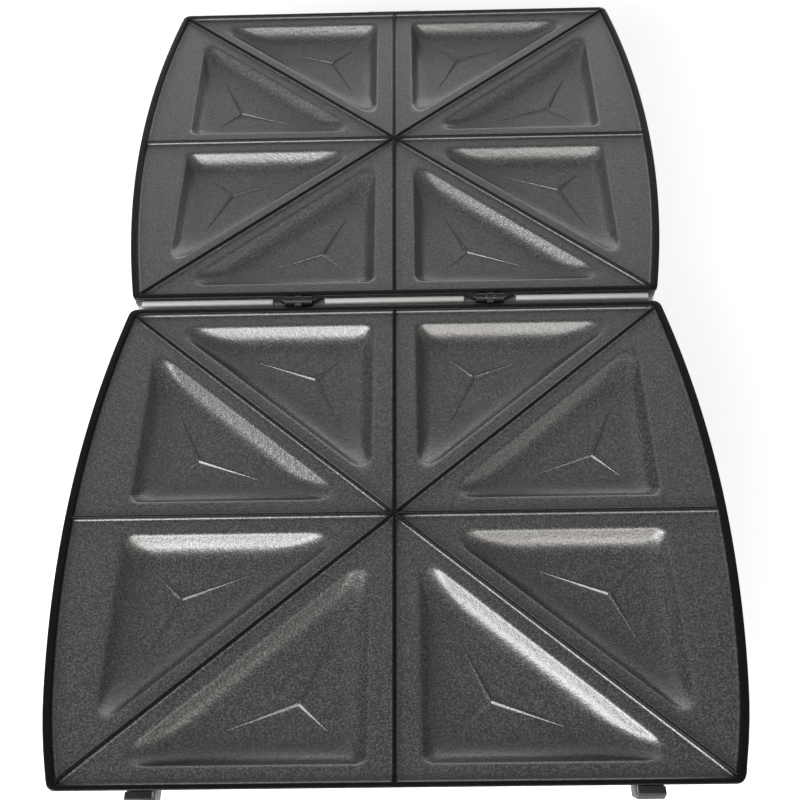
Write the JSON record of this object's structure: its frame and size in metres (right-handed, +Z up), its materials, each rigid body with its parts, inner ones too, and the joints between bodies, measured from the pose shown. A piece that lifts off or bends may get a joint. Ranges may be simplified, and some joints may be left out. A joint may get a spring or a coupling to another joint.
{
  "type": "sandwich toaster",
  "caption": "Opened sandwich toaster: two removable non-stick plates with triangular pockets, on a hinged base and lid with a latch, sliding plate locks and a bow handle.",
  "frame": {"origin": "centre of the bounding box, on the table under the feet", "axes": "+X to the right along the hinge, +Y from the base towards the lid that lies open behind it, +Z up"},
  "size_m": [0.291, 0.5372, 0.0506],
  "materials": {
    "housing_plastic": "smooth",
    "nonstick_plate": "fine grained dark grey non-stick coating",
    "heater_sheath": "dull",
    "bright_steel": "bright",
    "reflector_sheet": "bright rolled sheet",
    "black_plastic": "fine grained",
    "foot_rubber": "matt",
    "block_plastic": "moulded",
    "lock_plastic": "fine grained",
    "ceramic": "fired ceramic and steel",
    "brass_case": "tarnished",
    "board": "paper laminate",
    "lamp_glass": "clear",
    "red_lens": "translucent",
    "green_lens": "translucent"
  },
  "bodies": {
    "base": {"base_housing": "housing_plastic", "lower_plate": "nonstick_plate", "lower_heater": "heater_sheath", "lower_heater_clips": "bright_steel", "lower_reflector": "reflector_sheet", "lower_reflector_screws": "bright_steel", "base_hinge_ears": "black_plastic", "base_hinge_screws": "bright_steel", "feet": "foot_rubber", "cord_gland": "black_plastic", "gland_nut": "black_plastic", "terminal_block": "block_plastic"},
    "lid": {"lid_housing": "housing_plastic", "upper_plate": "nonstick_plate", "upper_heater": "heater_sheath", "upper_heater_clips": "bright_steel", "upper_reflector": "reflector_sheet", "upper_reflector_screws": "bright_steel", "lid_hinge_lugs": "black_plastic", "lid_hinge_screws": "bright_steel", "hinge_pins": "bright_steel", "lid_pads": "foot_rubber", "thermostat": "ceramic", "thermostat_bracket": "bright_steel", "thermal_fuse": "brass_case", "lamp_board": "board", "neon_lamps": "lamp_glass", "power_lens": "red_lens", "ready_lens": "green_lens", "handle": "black_plastic", "handle_screws": "bright_steel", "latch_pin": "bright_steel"},
    "latch": {"latch": "black_plastic"},
    "lower_lock_left": {"lower_lock_left": "lock_plastic"},
    "lower_lock_right": {"lower_lock_right": "lock_plastic"},
    "upper_lock_left": {"upper_lock_left": "lock_plastic"},
    "upper_lock_right": {"upper_lock_right": "lock_plastic"}
  },
  "joints": [
    {"name": "lid_hinge", "type": "hinge", "parent": "base", "child": "lid", "pos_m": [0, -0.01745, 0.0482], "axis": [1, 0, 0], "range_deg": [0, 180]},
    {"name": "latch_pivot", "type": "hinge", "parent": "lid", "child": "latch", "pos_m": [0, 0.23365, 0.0428], "axis": [1, 0, 0], "range_deg": [0, 180]},
    {"name": "lower_lock_left_slide", "type": "slide", "parent": "base", "child": "lower_lock_left", "axis": [1, 0, 0], "range_m": [0, 0.012]},
    {"name": "lower_lock_right_slide", "type": "slide", "parent": "base", "child": "lower_lock_right", "axis": [-1, 0, 0], "range_m": [0, 0.012]},
    {"name": "upper_lock_left_slide", "type": "slide", "parent": "lid", "child": "upper_lock_left", "axis": [1, 0, 0], "range_m": [0, 0.012]},
    {"name": "upper_lock_right_slide", "type": "slide", "parent": "lid", "child": "upper_lock_right", "axis": [-1, 0, 0], "range_m": [0, 0.012]}
  ]
}
